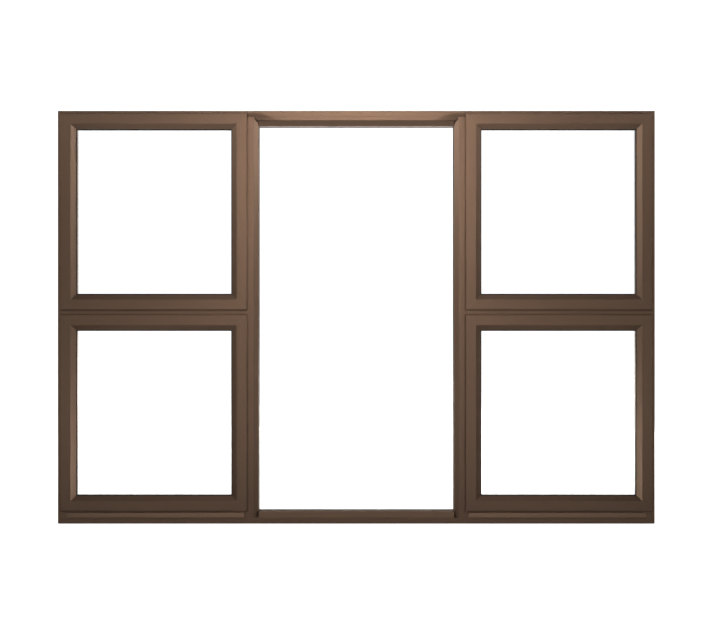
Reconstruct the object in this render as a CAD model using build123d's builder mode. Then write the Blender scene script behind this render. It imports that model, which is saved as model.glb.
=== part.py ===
from build123d import *
import os

# Bronze aluminium casement window: a fixed centre light between two stacks of top-hung sashes.
# Sizes are in millimetres. The window faces -Y, +X is to the viewer's right and +Z is up.
# The origin lies under the middle of the sill, half way through the depth of the frame.

# Overall window and its division into bays
window_width = 1800.0
window_height = 1245.0
centre_bay = 620.0  # clear width between the two mullions
mullion_face = 28.0
transom_face = 33.0

# Extruded frame: a hollow bar with a stop leg along its back edge
frame_face = 18.0
frame_depth = 40.0
frame_wall = 1.6
stop_leg = 10.0
stop_thickness = 3.0
edge_radius = 0.8
mitre_gap = 0.2

# Threshold under each lower sash, with a hollow nose that stands out in front
threshold_height = 30.0
nose_low = 1.5  # from the sill's face up to the nose
nose_height = 15.0
nose_reach = 9.0
nose_lean = 2.0  # how far the top of the nose leans back
nose_set_in = 11.0  # the nose stops short of the jamb

# Fixing screws through the jambs
fixing_hole_radius = 3.25
fixing_hole_spacing = 950.0

# Top-hung sash: hollow rail, flange with a returned edge over the frame, splayed glazing lip
sash_overlap = 9.5
sash_proud = 9.0  # face of the sash in front of the face of the frame
sash_gap = 3.0  # play between the sash and the bar beside it
sash_face = 31.5
sash_edge_radius = 2.5
sash_wall = 1.6
flange_return = 7.5
lip_width = 15.0
lip_depth = 9.0
lip_nose_width = 5.5
lip_nose_thickness = 2.0

# Seal between the back of each sash and the stop legs
seal_height = 3.0
seal_width = 5.0
seal_set_in = 1.0  # from the outer side of the sash rail

# Glazing of the sashes, from the outside inwards: gasket, glass, gasket, bead
glass_thickness = 4.0
gasket_thickness = 3.0
gasket_show = 3.5  # gasket seen past the lip
gasket_cover = 5.0  # gasket hidden by the lip or the bead
glass_edge_gap = 4.0
bead_height = 14.0
bead_wall = 1.3

# Fixed light: wide splayed bead at the head, narrow ones along the mullions, upright one on the sill
fixed_flat = 10.0
fixed_splay = 17.0
fixed_side_flat = 1.0
fixed_side_splay = 14.0
fixed_splay_depth = 9.0
fixed_sill_flat = 1.0
fixed_sill_rise = 19.0
fixed_sill_lean = 1.0
fixed_gasket_show = 2.5
fixed_back_gasket = 2.0
fixed_glass_edge_gap = 2.5

# Lever handle on the inside of each sash's bottom rail
plate_length = 58.0
plate_height = 11.0
plate_thickness = 3.0
pivot_radius = 5.2
lever_length = 92.0
lever_root_radius = 7.0
lever_tip_radius = 4.5
lever_thickness = 6.0
lever_bevel = 1.2
tongue_width = 9.0
tongue_thickness = 4.0
tongue_reach = 8.0  # how far the tongue laps over the stop leg
tongue_clearance = 0.3

# Places worked out from the driving sizes
front = -frame_depth / 2
back = frame_depth / 2
stop_front = back - stop_thickness
jamb_inside = window_width / 2 - frame_face
head_inside = window_height - frame_face
fixed_height = head_inside - frame_face
fixed_middle = window_height / 2
mullion_middle = (centre_bay + mullion_face) / 2
bay_width = jamb_inside - centre_bay / 2 - mullion_face
bay_middle = jamb_inside - bay_width / 2
threshold_top = frame_face + threshold_height
vent_height = (head_inside - threshold_top - transom_face) / 2
transom_low = threshold_top + vent_height
vent_middles = {"upper": head_inside - vent_height / 2, "lower": threshold_top + vent_height / 2}
bays = {"left": -1, "right": 1}

# The sash, measured from the face of its own flange
sash_width = bay_width + 2 * sash_overlap
sash_height = vent_height + 2 * sash_overlap
sash_front = front - sash_proud
sash_back = stop_front - seal_height
sash_depth = sash_back - sash_front
rail_start = sash_overlap + sash_gap
lip_end = sash_face + lip_width
lip_back = lip_depth + lip_nose_thickness
glass_front = lip_back + gasket_thickness
glass_back = glass_front + glass_thickness
bead_front = glass_back + gasket_thickness
bead_end = sash_face + bead_height

# The fixed light, glazed from outside against the stop legs
fixed_glass_back = stop_front - fixed_back_gasket
fixed_glass_front = fixed_glass_back - glass_thickness
fixed_bead_back = fixed_glass_front - gasket_thickness
fixed_bead_depth = fixed_bead_back - front
fixed_head_width = fixed_flat + fixed_splay
fixed_sill_width = fixed_sill_flat + fixed_sill_rise
fixed_side_width = fixed_side_flat + fixed_side_splay

up = Vector(0, 0, 1)
right = Vector(1, 0, 0)
depth_axis = Vector(0, 1, 0)
from_corner = (Align.MIN, Align.MIN)
from_middle = (Align.CENTER, Align.MIN)
os.makedirs("parts", exist_ok=True)


def write_piece(piece, name):
    # Each finished piece goes into its own file, under its own name.
    piece.part.label = name
    export_step(piece.part, f"parts/{name}.step")


def ring_sides(middle_x, middle_z, width, height, face):
    # Four sides of an upright rectangle: a point on the outer edge, the way inwards, the length.
    middle = Vector(middle_x, face, middle_z)
    return {
        "top": (middle + up * (height / 2), up * -1, width),
        "bottom": (middle - up * (height / 2), up, width),
        "left": (middle - right * (width / 2), right, height),
        "right": (middle + right * (width / 2), right * -1, height),
    }


def across(start, inward):
    # Plane across a bar: local x runs inwards from its outer edge, local y runs to the back.
    return Plane(origin=start, x_dir=inward, z_dir=inward.cross(depth_axis))


def upright(middle_x, face, middle_z):
    # Plane parallel to the glass that looks out of the window: local y is up.
    return Plane(origin=(middle_x, face, middle_z), x_dir=(1, 0, 0), z_dir=(0, -1, 0))


def mitres(start, inward, length):
    # The two planes at 45 degrees that trim a bar's ends, each looking at what is kept.
    along = inward.cross(depth_axis)
    planes = []
    for way in (along, along * -1):
        kept = ((way + inward) * -1).normalized()
        planes.append(Plane(origin=start + way * (length / 2) + kept * (mitre_gap / 2), z_dir=kept))
    return planes


def frame_bar(start, inward, length):
    # Side of the outer frame: a hollow bar with its stop leg, mitred at both ends.
    with BuildPart() as bar:
        with BuildSketch(across(start, inward)) as section:
            Rectangle(frame_face, frame_depth, align=from_corner)
            with Locations((frame_face, frame_depth - stop_thickness)):
                Rectangle(stop_leg, stop_thickness, align=from_corner)
            fillet(section.vertices().group_by(Axis.Y)[0], radius=edge_radius)
            with Locations((frame_wall, frame_wall)):
                Rectangle(
                    frame_face - 2 * frame_wall,
                    frame_depth - 2 * frame_wall,
                    align=from_corner,
                    mode=Mode.SUBTRACT,
                )
        extrude(amount=length / 2, both=True)
        for plane in mitres(start, inward, length):
            split(bisect_by=plane, keep=Keep.TOP)
    return bar


def drill_fixings(bar, start, inward):
    # Two screw holes straight through a jamb, half way through its depth.
    with BuildPart() as drilled:
        add(bar.part)
        along = inward.cross(depth_axis)
        with BuildSketch(Plane(origin=start + depth_axis * back, x_dir=along, z_dir=inward)):
            with GridLocations(fixing_hole_spacing, 0, 2, 1):
                Circle(fixing_hole_radius)
        extrude(amount=frame_face, mode=Mode.SUBTRACT)
    return drilled


def dividing_bar(middle, inward, length, face):
    # Mullion or transom: a hollow bar with a stop leg on both sides, coped over the legs it meets.
    plane = across(middle, inward)
    with BuildPart() as bar:
        with BuildSketch(plane) as section:
            Rectangle(face, frame_depth, align=from_middle)
            with Locations((0, frame_depth - stop_thickness)):
                Rectangle(face + 2 * stop_leg, stop_thickness, align=from_middle)
            fillet(section.vertices().group_by(Axis.Y)[0], radius=edge_radius)
            with Locations((0, frame_wall)):
                Rectangle(
                    face - 2 * frame_wall,
                    frame_depth - 2 * frame_wall,
                    align=from_middle,
                    mode=Mode.SUBTRACT,
                )
        extrude(amount=length / 2, both=True)
        for end in (-1, 1):
            with BuildSketch(plane.offset(end * length / 2)):
                with Locations((0, frame_depth - stop_thickness)):
                    Rectangle(face + 2 * stop_leg, stop_thickness, align=from_middle)
            extrude(amount=-end * stop_leg, mode=Mode.SUBTRACT)
    return bar


def threshold_bar(middle_x, way):
    # Hollow threshold on the sill, its leaning nose in front and its stop leg behind; the jamb lies on
    # the side that way gives.
    start = Vector(middle_x, front, frame_face)
    plane = across(start, up)
    nose_top = nose_low + nose_height
    with BuildPart() as bar:
        with BuildSketch(plane) as section:
            Rectangle(threshold_height, frame_depth - stop_thickness, align=from_corner)
            with Locations((stop_leg, frame_depth - stop_thickness)):
                Rectangle(threshold_height, stop_thickness, align=from_corner)
            with BuildLine():
                Polyline(
                    (nose_low, 0),
                    (nose_low, -nose_reach),
                    (nose_top, nose_lean - nose_reach),
                    (nose_top, 0),
                    close=True,
                )
            make_face()
            fillet(section.vertices().sort_by(Axis.Y)[0:2], radius=edge_radius)
            with Locations((frame_wall, frame_wall)):
                Rectangle(
                    threshold_height - 2 * frame_wall,
                    frame_depth - stop_thickness - 2 * frame_wall,
                    align=from_corner,
                    mode=Mode.SUBTRACT,
                )
            with Locations((nose_low + frame_wall, 0)):
                Rectangle(
                    nose_height - 2 * frame_wall,
                    nose_reach - nose_lean - frame_wall,
                    align=(Align.MIN, Align.MAX),
                    mode=Mode.SUBTRACT,
                )
        extrude(amount=bay_width / 2, both=True)
        for end in (-1, 1):
            with BuildSketch(plane.offset(end * bay_width / 2)):
                with Locations((0, frame_depth - stop_thickness)):
                    Rectangle(threshold_height + stop_leg, stop_thickness, align=from_corner)
            extrude(amount=-end * stop_leg, mode=Mode.SUBTRACT)
        with BuildSketch(plane.offset(-way * bay_width / 2)):
            with Locations((nose_low, 0)):
                Rectangle(nose_height, nose_reach, align=(Align.MIN, Align.MAX))
        extrude(amount=way * nose_set_in, mode=Mode.SUBTRACT)
    return bar


def sash_bar(start, inward, length):
    # Rail or stile of a sash: flange, hollow rail and splayed lip in one extrusion, mitred.
    lip_slope = lip_depth / lip_width
    lip_wall = sash_wall * (1 + lip_slope**2) ** 0.5
    nose_start = lip_end - lip_nose_width
    with BuildPart() as bar:
        with BuildSketch(across(start, inward)) as section:
            with BuildLine():
                Polyline(
                    (0, 0),
                    (sash_face, 0),
                    (lip_end, lip_depth),
                    (lip_end, lip_back),
                    (nose_start, lip_back),
                    (nose_start, (nose_start - sash_face) * lip_slope + lip_wall),
                    (sash_face, lip_wall),
                    (sash_face, sash_depth),
                    (rail_start, sash_depth),
                    (rail_start, sash_wall),
                    (sash_wall, sash_wall),
                    (sash_wall, flange_return),
                    (0, flange_return),
                    close=True,
                )
            make_face()
            outer_corner, splay_corner = section.vertices().group_by(Axis.Y)[0].sort_by(Axis.X)
            fillet(outer_corner, radius=sash_edge_radius)
            fillet(splay_corner, radius=edge_radius)
            with Locations((rail_start + sash_wall, sash_wall)):
                Rectangle(
                    sash_face - rail_start - 2 * sash_wall,
                    sash_depth - 2 * sash_wall,
                    align=from_corner,
                    mode=Mode.SUBTRACT,
                )
        extrude(amount=length / 2, both=True)
        for plane in mitres(start, inward, length):
            split(bisect_by=plane, keep=Keep.TOP)
    return bar


def sash_bead(start, inward, length):
    # Hollow inside bead that clips into a sash rail, mitred like the rail.
    with BuildPart() as bead:
        with BuildSketch(across(start, inward)):
            with Locations((sash_face, bead_front)):
                Rectangle(bead_height, sash_depth - bead_front, align=from_corner)
            with Locations((sash_face + bead_wall, bead_front + bead_wall)):
                Rectangle(
                    bead_height - 2 * bead_wall,
                    sash_depth - bead_front - 2 * bead_wall,
                    align=from_corner,
                    mode=Mode.SUBTRACT,
                )
        extrude(amount=length / 2, both=True)
        for plane in mitres(start, inward, length):
            split(bisect_by=plane, keep=Keep.TOP)
    return bead


def bead_set(sides):
    # The four beads of one sash, which stay separate solids.
    made = [sash_bead(*side) for side in sides.values()]
    with BuildPart() as beads:
        for bead in made:
            add(bead.part)
    return beads


def fixed_bead(start, inward, length, flat, splay, splay_depth):
    # Hollow outside bead of the fixed light: a flat, a splay and a straight reveal to the glass.
    with BuildPart() as bead:
        with BuildSketch(across(start, inward)) as section:
            with BuildLine():
                Polyline(
                    (0, 0),
                    (flat, 0),
                    (flat + splay, splay_depth),
                    (flat + splay, fixed_bead_depth),
                    (0, fixed_bead_depth),
                    close=True,
                )
            make_face()
            offset(section.face(), amount=-bead_wall, mode=Mode.SUBTRACT)
        extrude(amount=length / 2, both=True)
    return bead


def side_bead(start, inward, length):
    # Narrow bead along a mullion: it stands on the sill and is mitred at its top.
    whole = fixed_bead(start, inward, length, fixed_side_flat, fixed_side_splay, fixed_splay_depth)
    with BuildPart() as bead:
        add(whole.part)
        top_mitre = max(mitres(start, inward, length), key=lambda plane: plane.origin.Z)
        split(bisect_by=top_mitre, keep=Keep.TOP)
    return bead


def head_bead(start, inward, length):
    # Wide bead at the head, its ends notched at 45 degrees round the narrow beads.
    whole = fixed_bead(start, inward, length, fixed_flat, fixed_splay, fixed_splay_depth)
    width = fixed_head_width
    notch = fixed_side_width + mitre_gap
    with BuildPart() as bead:
        add(whole.part)
        with BuildSketch(Plane(origin=start, x_dir=inward, z_dir=depth_axis)):
            for end in (-length / 2, length / 2):
                way = 1 if end < 0 else -1
                with BuildLine():
                    Polyline(
                        (0, end),
                        (width, end),
                        (width, end + way * notch),
                        (fixed_side_width, end + way * notch),
                        (0, end + way * mitre_gap),
                        close=True,
                    )
                make_face()
        extrude(amount=fixed_bead_depth, mode=Mode.SUBTRACT)
    return bead


def sill_bead(start, inward, length):
    # Upright bead on the sill, cut square between the narrow beads.
    clear = length - 2 * (fixed_side_width + mitre_gap)
    return fixed_bead(start, inward, clear, fixed_sill_flat, fixed_sill_rise, fixed_sill_lean)


def pane(middle_x, middle_z, width, height, face):
    # Sheet of glass.
    with BuildPart() as sheet:
        with BuildSketch(upright(middle_x, face, middle_z)):
            Rectangle(width, height)
        extrude(amount=-glass_thickness)
    return sheet


def rubber_rings(rings):
    # Rectangular rings of rubber: each has its middle, outer size, inner size, face and thickness.
    with BuildPart() as rubber:
        for middle_x, middle_z, outside, inside, face, thickness in rings:
            with BuildSketch(upright(middle_x, face, middle_z)):
                Rectangle(*outside)
                Rectangle(*inside, mode=Mode.SUBTRACT)
            extrude(amount=-thickness)
    return rubber


def lever_handle(middle_x, sash_low, way):
    # Cast handle: plate on the rail, pivot, lever towards way, tongue that laps over the stop leg.
    lever_reach = lever_length - lever_root_radius - lever_tip_radius
    leg_top = sash_low + sash_overlap + stop_leg
    pivot_height = (leg_top + sash_low + sash_face) / 2
    lever_face = back + tongue_clearance
    tongue_low = leg_top - tongue_reach - pivot_height
    with BuildPart() as handle:
        with BuildSketch(upright(middle_x, sash_back, pivot_height)):
            SlotOverall(plate_length, plate_height)
        extrude(amount=-plate_thickness)
        with BuildSketch(upright(middle_x, sash_back, pivot_height)):
            Circle(pivot_radius)
        extrude(amount=sash_back - lever_face)
        with BuildSketch(upright(middle_x, lever_face, pivot_height)):
            Circle(lever_root_radius)
            with Locations((way * lever_reach, 0)):
                Circle(lever_tip_radius)
            make_hull()
        extrude(amount=-lever_thickness)
        chamfer(handle.faces().sort_by(Axis.Y)[-1].edges(), length=lever_bevel)
        with BuildSketch(upright(middle_x, lever_face, pivot_height)):
            with Locations((0, tongue_low)):
                Rectangle(tongue_width, -tongue_low, align=from_middle)
        extrude(amount=-tongue_thickness)
    return handle


def ring_size(width, height, inset):
    # Width and height of a rectangle that is set in by the same amount all round.
    return (width - 2 * inset, height - 2 * inset)


# Outer frame
frame_sides = ring_sides(0, window_height / 2, window_width, window_height, front)
write_piece(frame_bar(*frame_sides["top"]), "head")
write_piece(frame_bar(*frame_sides["bottom"]), "sill")
for side in bays:
    start, inward, length = frame_sides[side]
    jamb = frame_bar(start, inward, length)
    write_piece(drill_fixings(jamb, start, inward), f"{side}_jamb")

# Mullions, transoms and thresholds
for side, way in bays.items():
    mullion_centre = Vector(way * mullion_middle, front, fixed_middle)
    write_piece(dividing_bar(mullion_centre, right, fixed_height, mullion_face), f"{side}_mullion")
    transom_centre = Vector(way * bay_middle, front, transom_low + transom_face / 2)
    write_piece(dividing_bar(transom_centre, up, bay_width, transom_face), f"{side}_transom")
    write_piece(threshold_bar(way * bay_middle, way), f"{side}_threshold")

# Fixed centre light
fixed_sides = ring_sides(0, fixed_middle, centre_bay, fixed_height, front)
write_piece(head_bead(*fixed_sides["top"]), "centre_head_bead")
write_piece(sill_bead(*fixed_sides["bottom"]), "centre_sill_bead")
write_piece(side_bead(*fixed_sides["left"]), "centre_left_bead")
write_piece(side_bead(*fixed_sides["right"]), "centre_right_bead")
fixed_glass_size = ring_size(centre_bay, fixed_height, fixed_glass_edge_gap)
write_piece(pane(0, fixed_middle, *fixed_glass_size, fixed_glass_front), "centre_glass")
bead_opening = (centre_bay - 2 * fixed_side_width, fixed_height - fixed_head_width - fixed_sill_width)
opening_middle = fixed_middle + (fixed_sill_width - fixed_head_width) / 2
gaskets = [
    (
        0,
        opening_middle,
        ring_size(*bead_opening, -gasket_cover),
        ring_size(*bead_opening, fixed_gasket_show),
        fixed_bead_back,
        gasket_thickness,
    ),
    (
        0,
        fixed_middle,
        fixed_glass_size,
        ring_size(centre_bay, fixed_height, stop_leg + fixed_gasket_show),
        fixed_glass_back,
        fixed_back_gasket,
    ),
]

# Top-hung sashes
seals = []
for side, way in bays.items():
    for level, middle_z in vent_middles.items():
        name = f"{side}_{level}"
        middle_x = way * bay_middle
        sash_sides = ring_sides(middle_x, middle_z, sash_width, sash_height, sash_front)
        for edge, member in {"top": "rail", "bottom": "rail", "left": "stile", "right": "stile"}.items():
            write_piece(sash_bar(*sash_sides[edge]), f"{name}_{edge}_{member}")
        write_piece(bead_set(sash_sides), f"{name}_beads")
        sash_glass = ring_size(sash_width, sash_height, sash_face + glass_edge_gap)
        write_piece(pane(middle_x, middle_z, *sash_glass, sash_front + glass_front), f"{name}_glass")
        write_piece(lever_handle(middle_x, middle_z - sash_height / 2, -way), f"{name}_handle")
        gaskets.append(
            (
                middle_x,
                middle_z,
                ring_size(sash_width, sash_height, lip_end - gasket_cover),
                ring_size(sash_width, sash_height, lip_end + gasket_show),
                sash_front + lip_back,
                gasket_thickness,
            )
        )
        gaskets.append(
            (
                middle_x,
                middle_z,
                ring_size(sash_width, sash_height, bead_end - gasket_cover),
                ring_size(sash_width, sash_height, bead_end + fixed_gasket_show),
                sash_front + glass_back,
                gasket_thickness,
            )
        )
        seals.append(
            (
                middle_x,
                middle_z,
                ring_size(sash_width, sash_height, rail_start + seal_set_in),
                ring_size(sash_width, sash_height, rail_start + seal_set_in + seal_width),
                sash_back,
                seal_height,
            )
        )
write_piece(rubber_rings(gaskets), "glazing_gaskets")
write_piece(rubber_rings(seals), "weather_seals")
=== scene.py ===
import math

import bpy
import numpy as np
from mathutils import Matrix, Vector


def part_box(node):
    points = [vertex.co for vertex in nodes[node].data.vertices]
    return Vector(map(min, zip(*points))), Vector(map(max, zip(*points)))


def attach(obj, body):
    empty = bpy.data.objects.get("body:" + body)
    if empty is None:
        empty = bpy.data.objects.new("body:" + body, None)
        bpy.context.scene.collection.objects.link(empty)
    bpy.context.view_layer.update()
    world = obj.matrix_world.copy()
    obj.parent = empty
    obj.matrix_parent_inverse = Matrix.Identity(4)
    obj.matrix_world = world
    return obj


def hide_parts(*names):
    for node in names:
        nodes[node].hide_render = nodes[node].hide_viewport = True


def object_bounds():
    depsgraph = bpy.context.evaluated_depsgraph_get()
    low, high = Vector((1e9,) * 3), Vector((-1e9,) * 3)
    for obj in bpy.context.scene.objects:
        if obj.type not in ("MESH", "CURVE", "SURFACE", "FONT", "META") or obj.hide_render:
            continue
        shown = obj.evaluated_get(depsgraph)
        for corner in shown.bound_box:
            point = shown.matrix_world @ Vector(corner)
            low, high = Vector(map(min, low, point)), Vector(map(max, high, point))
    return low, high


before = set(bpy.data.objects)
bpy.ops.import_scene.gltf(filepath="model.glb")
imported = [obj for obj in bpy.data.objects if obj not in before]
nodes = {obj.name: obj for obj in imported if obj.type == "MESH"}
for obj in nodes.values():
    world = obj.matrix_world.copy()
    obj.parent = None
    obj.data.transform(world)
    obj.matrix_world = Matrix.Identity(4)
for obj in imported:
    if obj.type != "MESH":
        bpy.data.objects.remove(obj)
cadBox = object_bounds()
print("frame loaded:", len(nodes), "nodes")


# a socket of a node tree: operators on it add Math nodes, node() adds any other kind
class Wire:
    def __init__(self, tree, out=None):
        self.tree = tree
        self.out = out

    # settings go in first, then the values and links of the sockets
    def node(self, kind, settings=None, sockets=None, out=0):
        made = self.tree.nodes.new("ShaderNode" + kind)
        for name, value in (settings or {}).items():
            setattr(made, name, value)
        for name, value in (sockets or {}).items():
            if isinstance(value, Wire):
                self.tree.links.new(value.out, made.inputs[name])
            else:
                made.inputs[name].default_value = value
        return Wire(self.tree, made.outputs[out] if made.outputs else None)

    def sum(self, operation, first, second):
        return self.node("Math", {"operation": operation}, {0: first, 1: second})

    def __add__(self, other):
        return self.sum("ADD", self, other)

    def __sub__(self, other):
        return self.sum("SUBTRACT", self, other)

    def __rsub__(self, other):
        return self.sum("SUBTRACT", other, self)

    def __mul__(self, other):
        return self.sum("MULTIPLY", self, other)

    __radd__ = __add__
    __rmul__ = __mul__

    # smooth step from 0 at one value to 1 at another
    def ramp(self, start, end):
        return self.node("MapRange", {"interpolation_type": "SMOOTHSTEP"},
                         {"Value": self, "From Min": start, "From Max": end})

    def apart(self, other):
        return self.sum("ABSOLUTE", self - other, 0.0)

    # colour between two others, by a factor
    def blend(self, low, high):
        return self.node("Mix", {"data_type": "RGBA"}, {0: self, 6: low, 7: high}, 2)


def newFinish(name):
    made = bpy.data.materials.new(name)
    made.use_nodes = True
    made.node_tree.nodes.clear()
    return made, Wire(made.node_tree)


# noise on Object coordinates, with its own size along each axis in metres
def grain(wire, size, detail):
    place = wire.node("TexCoord", out="Object")
    scale = [1.0 / s for s in size]
    mapped = wire.node("Mapping", {"vector_type": "POINT"}, {"Vector": place, "Scale": scale})
    return wire.node("TexNoise", {}, {"Vector": mapped, "Scale": 1.0, "Detail": detail})


def closeFinish(wire, bsdf):
    wire.node("OutputMaterial", {}, {"Surface": bsdf})


sashes = [name[:-len("_handle")] for name in nodes if name.endswith("_handle")]


# outer edges of a sash: left, right, low, high
def sashOutline(sash):
    left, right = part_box(sash + "_left_stile"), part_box(sash + "_right_stile")
    return left[0].x, right[1].x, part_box(sash + "_bottom_rail")[0].z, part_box(sash + "_top_rail")[1].z


# painted shade in the frame's colour: a darker line beside each proud sash and a darker wedge at each end of
# the head
paintedShade = {
    # colour of the painted shade
    "colour": (0.030, 0.020, 0.014, 1.0),
    "gapReach": 0.0042,   # painted shade on the frame along the gap of a sash, where the proud sash shades it
    "gapDepth": 0.32,
    "gapOverlap": 0.0003,  # how far the painted shade runs in under the sash
    "endInner": 0.205,    # painted shade at each end of the head, from the middle of the window
    "endOuter": 0.300,
    "endDepth": 0.58,
    "endRise": 0.026,     # how far the upper edge of the painted shade rises towards the mullion
    "endDrop": 0.030,     # upper edge at its inner tip, under the top of the head
    "endSoft": (-0.002, 0.008),  # softness of that edge
    "endFoot": (0.034, 0.027),   # where the painted shade fades out below, under the top of the head
    "outside": (-0.012, -0.017),  # depth where the painted shade begins, and where it is full
}


# sideways distance from the middle of the window, height, and 1 on the outside of the frame but 0 inside
def spot(wire, look=paintedShade):
    place = wire.node("TexCoord", out="Object")
    x, y, z = (wire.node("SeparateXYZ", {}, {0: place}, out) for out in ("X", "Y", "Z"))
    return x.apart(0.0), z, y.ramp(*look["outside"])


# painted shade beside each sash, standing in for the shadow of the proud sash on the frame: distance outside
# its rectangle = larger of the two axis distances
def gapShade(wire, look=paintedShade):
    x, z, outside = spot(wire)
    total = None
    for sash in ("right_upper", "right_lower"):
        left, right, low, high = sashOutline(sash)
        across = x.apart((left + right) / 2) - (right - left) / 2
        upright = z.apart((low + high) / 2) - (high - low) / 2
        away = wire.sum("MAXIMUM", across, upright)
        line = away.ramp(look["gapReach"], 0.0) * wire.sum("GREATER_THAN", away, -look["gapOverlap"])
        total = line if total is None else wire.sum("MAXIMUM", total, line)
    return total * outside * look["gapDepth"]


# painted shade, a darker triangle at each end of the head where it meets the mullion: its upper edge rises
# towards the mullion
def headEndShade(wire, look=paintedShade):
    x, z, outside = spot(wire)
    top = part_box("head")[1].z
    share = x.ramp(look["endInner"], look["endOuter"])
    below = (share * look["endRise"] + (top - look["endDrop"]) - z).ramp(*look["endSoft"])
    above = z.ramp(*(top - drop for drop in look["endFoot"]))
    return share * below * above * outside * look["endDepth"]


bronze = {
    "dark": (0.205, 0.1315, 0.089, 1.0),
    "light": (0.255, 0.164, 0.112, 1.0),
    "metallic": 0.92,
    "roughness": 0.43,
    "roughDrift": 0.06,
    "driftSize": 0.35,       # broad change of tone along a length of section
    "streakAcross": 0.0013,  # drawing lines left by the die
    "streakAlong": 0.45,
    "patchSize": 0.035,      # soft patches in place of lines where a piece has no drawn length
    "grainSize": 0.0006,     # fine grain of the coat
    "toneShares": (0.35, 0.35, 0.3),  # drift, streaks and grain in the tone
    "bumpShares": (0.6, 0.4),         # streaks and grain in the height
    "bumpDepth": 0.00005,
    "bumpStrength": 0.4,
}


# satin bronze coat: tone = drift, streaks and grain mixed, height = streaks and grain mixed
def bronzeFinish(name, along, look=bronze, paintedShades=()):
    made, wire = newFinish(name)
    streakSize = [look["patchSize"]] * 3
    if along is not None:
        streakSize = [look["streakAcross"]] * 3
        streakSize[along] = look["streakAlong"]
    drift = grain(wire, [look["driftSize"]] * 3, detail=3.0)
    streak = grain(wire, streakSize, detail=2.0)
    fine = grain(wire, [look["grainSize"]] * 3, detail=1.0)
    driftShare, streakShare, grainShare = look["toneShares"]
    tone = drift * driftShare + streak * streakShare + fine * grainShare
    colour = tone.blend(look["dark"], look["light"])
    # painted shade laid over the tone, beside the sashes and at the ends of the head
    for shadeMark in paintedShades:
        colour = shadeMark(wire).blend(colour, paintedShade["colour"])
    rough = (drift * 0.5 + streak * 0.5 - 0.5) * look["roughDrift"] + look["roughness"]
    streakBump, grainBump = look["bumpShares"]
    height = streak * streakBump + fine * grainBump
    bump = wire.node("Bump", {}, {"Strength": look["bumpStrength"], "Distance": look["bumpDepth"],
                                  "Height": height})
    closeFinish(wire, wire.node("BsdfPrincipled", {}, {
        "Base Color": colour, "Metallic": look["metallic"], "Roughness": rough, "Normal": bump}))
    return made


castLook = dict(bronze, dark=(0.10, 0.062, 0.041, 1.0), light=(0.15, 0.094, 0.062, 1.0), roughness=0.38,
                bumpDepth=0.00004)

rubber = {
    "dark": (0.010, 0.010, 0.010, 1.0),
    "light": (0.026, 0.025, 0.024, 1.0),
    "roughness": 0.62,
    "roughDrift": 0.2,
    "bloomSize": 0.03,
    "grainSize": 0.0004,
    "toneShares": (0.7, 0.3),  # bloom and grain in the tone
    "bumpDepth": 0.00003,
    "bumpStrength": 0.4,
    "shine": 0.35,
}


# extruded rubber: a faint bloom over a fine grain
def rubberFinish(name, look=rubber):
    made, wire = newFinish(name)
    bloom = grain(wire, [look["bloomSize"]] * 3, detail=3.0)
    fine = grain(wire, [look["grainSize"]] * 3, detail=1.0)
    bloomShare, grainShare = look["toneShares"]
    colour = (bloom * bloomShare + fine * grainShare).blend(look["dark"], look["light"])
    rough = (bloom - 0.5) * look["roughDrift"] + look["roughness"]
    bump = wire.node("Bump", {}, {"Strength": look["bumpStrength"], "Distance": look["bumpDepth"],
                                  "Height": fine})
    closeFinish(wire, wire.node("BsdfPrincipled", {}, {
        "Base Color": colour, "Roughness": rough, "Normal": bump, "Specular IOR Level": look["shine"]}))
    return made


glass = {
    "clear": (0.985, 0.997, 0.992, 1.0),
    "tint": (0.965, 0.99, 0.98, 1.0),
    "ior": 1.5,
    "alpha": 0.45,       # the rest of the light goes straight through
    "filmSize": 0.22,
    "filmRough": 0.012,
    "waveSize": 0.28,    # slow waves of float glass
    "waveDepth": 0.00008,
    "waveStrength": 0.3,
}


# clear float glass: slow waves in its face and a thin film that blurs it a little
def glassFinish(name, look=glass):
    made, wire = newFinish(name)
    film = grain(wire, [look["filmSize"]] * 3, detail=4.0)
    wave = grain(wire, [look["waveSize"]] * 3, detail=1.0)
    colour = film.blend(look["tint"], look["clear"])
    bump = wire.node("Bump", {}, {"Strength": look["waveStrength"], "Distance": look["waveDepth"],
                                  "Height": wave})
    closeFinish(wire, wire.node("BsdfPrincipled", {}, {
        "Base Color": colour, "Roughness": film * look["filmRough"], "IOR": look["ior"],
        "Transmission Weight": 1.0, "Alpha": look["alpha"], "Normal": bump}))
    return made


# frame bars carry painted shade beside the sashes, and the head also at its ends
alongX = bronzeFinish("bronze_coat_across", 0, paintedShades=[gapShade])
alongZ = bronzeFinish("bronze_coat_upright", 2, paintedShades=[gapShade])
headCoat = bronzeFinish("bronze_coat_head", 0, paintedShades=[gapShade, headEndShade])
allRound = bronzeFinish("bronze_coat_beads", None)
castBronze = bronzeFinish("cast_bronze", None, castLook)
clearGlass = glassFinish("clear_glass")
blackRubber = rubberFinish("black_rubber")

# the end of a node's name says which way its section was drawn
finishFor = {
    "_handle": castBronze, "_glass": clearGlass, "_beads": allRound,
    "_gaskets": blackRubber, "_seals": blackRubber,
    "_jamb": alongZ, "_mullion": alongZ, "_stile": alongZ, "_left_bead": alongZ, "_right_bead": alongZ,
    "head": headCoat, "sill": alongX, "_transom": alongX, "_threshold": alongX, "_rail": alongX,
    "_head_bead": headCoat, "_sill_bead": alongX,
}


def dress(piece, finish):
    piece.data.materials.clear()
    piece.data.materials.append(finish)


for name, piece in nodes.items():
    dress(piece, next(finishFor[end] for end in finishFor if name.endswith(end)))
print("finishes made:", len(bpy.data.materials))


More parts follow.
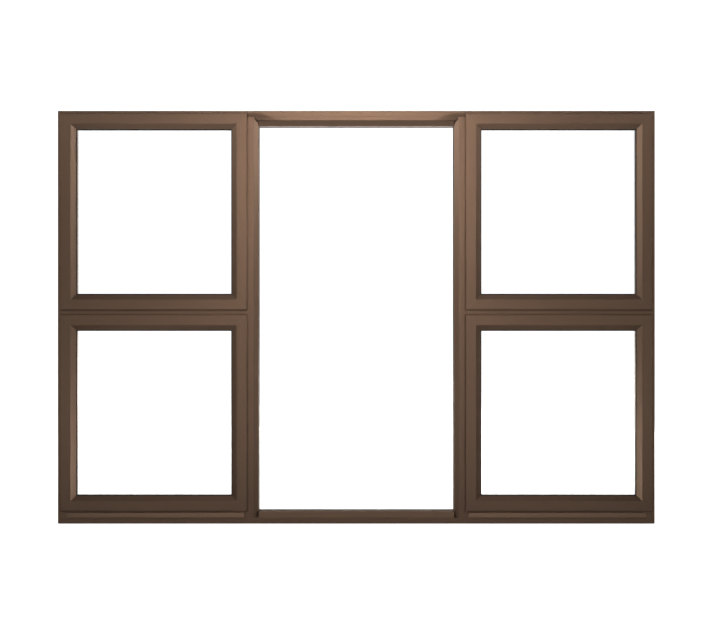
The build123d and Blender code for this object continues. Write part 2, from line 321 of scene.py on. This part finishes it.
# mesh from whole arrays; its edges stay sharp past the given turn
def newPiece(name, points, faces, finish, replaced=None, turn=40.0):
    mesh = bpy.data.meshes.new(name)
    mesh.from_pydata(points.tolist(), [], faces.tolist())
    mesh.shade_smooth()
    mesh.set_sharp_from_angle(angle=math.radians(turn))
    piece = bpy.data.objects.new(name, mesh)
    bpy.context.scene.collection.objects.link(piece)
    dress(piece, finish)
    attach(piece, "root")
    if replaced:
        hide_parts(replaced)


# closed grid: rows go round the section, columns round the path; each face joins four neighbours
def wrapFaces(rows, columns, first):
    row, column = np.meshgrid(np.arange(rows), np.arange(columns), indexing="ij")
    nextRow, nextColumn = (row + 1) % rows, (column + 1) % columns
    corners = [row * columns + column, row * columns + nextColumn,
               nextRow * columns + nextColumn, nextRow * columns + column]
    return np.stack(corners, -1).reshape(-1, 4) + first


# section of (inwards, depth) carried round a rectangle with mitred corners
def ringPoints(rectangle, face, section, way):
    left, right, low, high = rectangle
    inward, depth = section[:, :1], section[:, 1:]
    x = np.hstack([left + inward, right - inward, right - inward, left + inward])
    z = np.hstack([low + inward, low + inward, high - inward, high - inward])
    y = np.repeat(face + way * depth, 4, axis=1)
    return np.stack([x, y, z], -1).reshape(-1, 3)


def ringPiece(name, rings, replaced):
    points, faces, count = [], [], 0
    for rectangle, face, section, way in rings:
        points.append(ringPoints(rectangle, face, section, way))
        faces.append(wrapFaces(len(section), 4, count)[:, ::int(way)])
        count += len(points[-1])
    newPiece(name, np.vstack(points), np.vstack(faces), blackRubber, replaced)


def grow(rectangle, by):
    left, right, low, high = rectangle
    return left - by, right + by, low - by, high + by


gasket = {
    "thick": 0.003,
    "show": 0.0028,      # seen past the lip of a sash
    "backShow": 0.0014,  # seen past an inside bead, a stop leg or a fixed bead
    "cover": 0.005,
    "backThick": 0.002,  # behind the fixed pane
    "clear": 0.00005,    # off the glass
    "nose": 2.2,         # power of the nose: 1 is a plain wedge, more is rounder
    "rib": 0.00025,
    "ribs": 3,
    "steps": 14,
    "beadHeight": 0.014,
}


# wedge gasket: its nose falls from the lip to the glass as a power curve with shallow ribs on it
def wedgeSection(show, thick, look=gasket):
    t = np.linspace(0.0, 1.0, look["steps"])
    ribs = look["rib"] * np.sin(look["ribs"] * 2 * np.pi * t) ** 2 * (1 - t)
    nose = np.stack([show * t, (thick - look["clear"]) * t ** look["nose"] + ribs], -1)
    hidden = np.array([[-look["cover"], thick - look["clear"]], [-look["cover"], 0.0]])
    return np.vstack([nose, hidden])


seal = {
    "width": 0.005,
    "height": 0.003,
    "foot": 0.0006,   # flat foot under the bulb
    "steps": 15,
    "setIn": 0.0135,  # from the edge of the sash
}


# bulb seal: half an ellipse on a flat foot
def bulbSection(look=seal):
    t = np.linspace(np.pi, 0.0, look["steps"])
    half = look["width"] / 2
    bulb = np.stack([half - half * np.cos(t), look["foot"] + (look["height"] - look["foot"]) * np.sin(t)], -1)
    return np.vstack([bulb, [[0.0, 0.0], [look["width"], 0.0]]])


# edges of the opening inside four bars: left, right, low, high
def opening(left, right, low, high):
    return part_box(left)[1].x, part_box(right)[0].x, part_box(low)[1].z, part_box(high)[0].z


def sashOpening(sash):
    return opening(*(sash + end for end in ("_left_stile", "_right_stile", "_bottom_rail", "_top_rail")))


def outline(node):
    low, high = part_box(node)
    return low.x, high.x, low.z, high.z


def gasketRings(look=gasket):
    front = wedgeSection(look["show"], look["thick"])
    back = wedgeSection(look["backShow"], look["thick"])
    thin = wedgeSection(look["backShow"], look["backThick"])
    rings = []
    for sash in sashes:
        glassLow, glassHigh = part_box(sash + "_glass")
        rings.append((sashOpening(sash), glassLow.y - look["thick"], front, 1))
        beadEdge = grow(outline(sash + "_beads"), -look["beadHeight"])
        rings.append((beadEdge, glassHigh.y + look["thick"], back, -1))
    glassLow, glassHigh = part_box("centre_glass")
    beadEdge = opening("centre_left_bead", "centre_right_bead", "centre_sill_bead", "centre_head_bead")
    rings.append((beadEdge, glassLow.y - look["thick"], back, 1))
    legEdge = opening("left_mullion", "right_mullion", "sill", "head")
    rings.append((legEdge, glassHigh.y + look["backThick"], thin, -1))
    return rings


def sealRings(look=seal):
    rings = []
    for sash in sashes:
        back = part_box(sash + "_left_stile")[1].y
        rings.append((grow(sashOutline(sash), -look["setIn"]), back, bulbSection(), 1))
    return rings


ringPiece("wedge_gaskets", gasketRings(), "glazing_gaskets")
ringPiece("bulb_seals", sealRings(), "weather_seals")

screw = {
    "radius": 0.0027,
    "dome": 0.0013,
    "edge": 0.0005,      # upright rim under the dome
    "apart": 0.040,
    "plate": 0.003,      # thickness of the handle's plate
    "slotHalf": 0.00042,  # half the width of one arm of the cross recess
    "slotReach": 0.0016,
    "slotDepth": 0.0008,
    "rings": 26,
    "spokes": 96,
}


# pan head on a polar grid: dome = edge + (dome - edge) * sqrt(1 - r^2), less a cross-shaped recess;
# the last two points are the poles, one on the dome and one under the rim
def screwPoints(look=screw):
    r = np.concatenate([np.linspace(0.0, 1.0, look["rings"])[1:], [1.0]])[:, None]
    a = np.linspace(0.0, 2 * np.pi, look["spokes"], endpoint=False)[None, :]
    x, z = look["radius"] * r * np.cos(a), look["radius"] * r * np.sin(a)
    height = look["edge"] + (look["dome"] - look["edge"]) * np.sqrt(1 - r ** 2) + 0 * a
    reach, half = look["slotReach"], look["slotHalf"]
    inCross = ((abs(x) < half) & (abs(z) < reach)) | ((abs(z) < half) & (abs(x) < reach))
    height = height - look["slotDepth"] * inCross
    height[-1] = 0.0
    poles = [[0.0, look["dome"] - look["slotDepth"], 0.0], [0.0, 0.0, 0.0]]
    return np.vstack([np.stack([x, height, z], -1).reshape(-1, 3), poles])


# triangles: the grid's quads cut in two, and a fan at each pole
def screwFaces(rows, columns):
    quads = wrapFaces(rows, columns, 0)[:-columns]
    here = np.arange(columns)
    after = (here + 1) % columns
    last = (rows - 1) * columns
    top = np.stack([0 * here + rows * columns, after, here], -1)
    under = np.stack([0 * here + rows * columns + 1, here + last, after + last], -1)
    return np.vstack([quads[:, :3], quads[:, [0, 2, 3]], top, under])


def handleScrews(look=screw):
    head = screwPoints()
    faces = screwFaces(look["rings"], look["spokes"])
    for sash in sashes:
        side, level = sash.split("_")
        carrier = f"{side}_transom" if level == "upper" else f"{side}_threshold"
        glassLow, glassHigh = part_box(sash + "_glass")
        height = (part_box(carrier)[1].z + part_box(sash + "_beads")[0].z) / 2
        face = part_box(sash + "_bottom_rail")[1].y + look["plate"]
        middle = np.array([(glassLow.x + glassHigh.x) / 2, face, height])
        points = [head + middle + [way * look["apart"] / 2, 0, 0] for way in (-1, 1)]
        both = np.vstack([faces, faces + len(head)])
        newPiece(f"{sash}_handle_screws", np.vstack(points), both, castBronze)


handleScrews()
print("pieces made")


stage = {
    "floorHalf": 9.0,
    "floorDrop": 0.0004,
    "dark": (0.80, 0.80, 0.79, 1.0),
    "light": (0.86, 0.86, 0.85, 1.0),
    "white": (1.0, 1.0, 1.0, 1.0),
    "patchSize": 1.3,
    "roughness": 0.8,
    "glow": 1.25,
    "backdrop": 1.25,
    "ambient": 0.07,
}


# pale floor that glows for the eye alone
def layFloor(look=stage):
    half = look["floorHalf"]
    low = cadBox[0].z - look["floorDrop"]
    corners = np.array([[-half, -half, low], [half, -half, low], [half, half, low], [-half, half, low]])
    mesh = bpy.data.meshes.new("studio_floor")
    mesh.from_pydata(corners.tolist(), [], [(0, 1, 2, 3)])
    floor = bpy.data.objects.new("studio_floor", mesh)
    bpy.context.scene.collection.objects.link(floor)
    made, wire = newFinish("studio_floor")
    patch = grain(wire, [look["patchSize"]] * 3, detail=4.0)
    colour = patch.blend(look["dark"], look["light"])
    closeFinish(wire, wire.node("BsdfPrincipled", {}, {
        "Base Color": colour, "Roughness": look["roughness"], "Emission Color": look["white"],
        "Emission Strength": look["glow"]}))
    dress(floor, made)
    floor.visible_glossy = False
    floor.visible_diffuse = False


# white paper behind the object for what the eye sees, straight or through glass, and dim air for everything
# else; the glossy depth counts reflections, so under a half means none
def hangBackdrop(look=stage):
    world = bpy.data.worlds.new("studio")
    bpy.context.scene.world = world
    world.use_nodes = True
    world.node_tree.nodes.clear()
    wire = Wire(world.node_tree)
    straight = wire.node("LightPath", out="Is Camera Ray") + wire.node("LightPath", out="Is Transmission Ray")
    seen = straight * wire.sum("LESS_THAN", wire.node("LightPath", out="Glossy Depth"), 0.5)
    paper = wire.node("Background", {}, {"Color": look["white"], "Strength": look["backdrop"]})
    air = wire.node("Background", {}, {"Color": look["white"], "Strength": look["ambient"]})
    mixed = wire.node("MixShader", {}, {0: seen, 1: air, 2: paper})
    wire.node("OutputWorld", {}, {"Surface": mixed})


layFloor()
hangBackdrop()

# place, size across and up, power in watts; a lamp looks at its aim, or else at the middle of the window;
# a spread in degrees keeps its light narrow, and a paired one has a twin on the other side
lamps = {
    "key_box": {"place": (0.0, -3.5, 1.65), "size": (0.5, 1.0), "power": 3.95, "aim": (0.0, 0.0, 1.25),
                "spread": 70.0, "colour": (1.0, 0.92, 0.87)},
    "side_box": {"place": (-2.3, -2.22, 1.98), "size": (0.5, 0.4), "power": 1.6, "aim": (0.6, 0.0, 1.15),
                 "spread": 60.0, "paired": True},
    "wing_box": {"place": (-2.62, -1.75, 1.95), "size": (0.5, 0.4), "power": 1.0, "aim": (0.6, 0.0, 1.15),
                 "spread": 60.0, "paired": True},
    "foot_box": {"place": (-2.45, -2.06, 0.2), "size": (0.5, 0.3), "power": 3.5, "paired": True},
    "kicker": {"place": (-0.5, -1.25, 0.06), "size": (0.2, 0.1), "power": 0.075, "aim": (0.87, 0.0, 0.13),
               "spread": 30.0, "paired": True},
    "low_box": {"place": (-1.5, -3.5, 0.45), "size": (0.4, 0.3), "power": 0.032, "aim": (-0.75, 0.0, 0.03),
                "spread": 30.0, "paired": True},
    "front_strip": {"place": (0.0, -2.2, 0.1), "size": (2.6, 0.15), "power": 1.05, "aim": (0.0, 0.0, 0.28),
                    "spread": 100.0},
    "floor_strip": {"place": (0.0, -0.85, 0.03), "size": (2.3, 0.7), "power": 0.59, "aim": (0.0, 0.0, 1.5),
                    "spread": 60.0},
    "near_strip": {"place": (0.0, -0.33, 0.02), "size": (1.9, 0.12), "power": 0.03, "aim": (0.0, 0.0, 0.59),
                   "spread": 60.0},
    "top_box": {"place": (0.0, -0.8, 3.5), "size": (2.0, 0.6), "power": 6.4},
    "back_box": {"place": (2.2, 2.6, 1.7), "size": (1.2, 1.2), "power": 46.0},
    "back_side": {"place": (-2.6, 2.2, 1.1), "size": (0.9, 1.4), "power": 34.0, "paired": True},
    "back_top": {"place": (0.0, 2.0, 3.4), "size": (2.4, 0.8), "power": 34.0},
    "back_low": {"place": (0.4, 3.0, 0.2), "size": (2.4, 0.3), "power": 22.0},
}


def hangLamp(name, spec, way):
    data = bpy.data.lights.new(name, "AREA")
    data.shape = "RECTANGLE"
    data.size, data.size_y = spec["size"]
    data.energy = spec["power"]
    data.color = spec.get("colour", (1.0, 1.0, 1.0))
    data.spread = math.radians(spec.get("spread", 180.0))
    lamp = bpy.data.objects.new(name, data)
    bpy.context.scene.collection.objects.link(lamp)
    mirror = Vector((way, 1.0, 1.0))
    lamp.location = Vector(spec["place"]) * mirror
    aim = Vector(spec["aim"]) * mirror if "aim" in spec else (cadBox[0] + cadBox[1]) / 2
    lamp.rotation_euler = (aim - lamp.location).to_track_quat("-Z", "Y").to_euler()
    lamp.visible_camera = False
    lamp.visible_transmission = False


for name, spec in lamps.items():
    hangLamp(name, spec, 1.0)
    if spec.get("paired"):
        hangLamp(name + "_twin", spec, -1.0)

view = {
    "lens": 58.6,
    "sensor": 36.0,
    "pictureWidth": 710.0,
    "framePixels": 597.0,   # width of the whole frame in the picture
    "aside": -0.0040,       # eye to the left of the middle of the window
    "rise": -0.0021,        # eye height from the middle of the window
}


# eye straight in front: its distance makes the frame as wide as it is in the picture
def standCamera(look=view):
    low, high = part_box("head")
    data = bpy.data.cameras.new("eye")
    data.lens = look["lens"]
    data.sensor_width = look["sensor"]
    data.sensor_fit = "HORIZONTAL"
    seenWidth = (high.x - low.x) * look["pictureWidth"] / look["framePixels"]
    away = seenWidth * look["lens"] / look["sensor"]
    eye = bpy.data.objects.new("eye", data)
    bpy.context.scene.collection.objects.link(eye)
    eye.location = (look["aside"], low.y - away, (cadBox[0].z + cadBox[1].z) / 2 + look["rise"])
    eye.rotation_euler = (math.pi / 2, 0.0, 0.0)
    bpy.context.scene.camera = eye


standCamera()
bpy.context.scene.view_settings.view_transform = "Standard"
print("studio set")
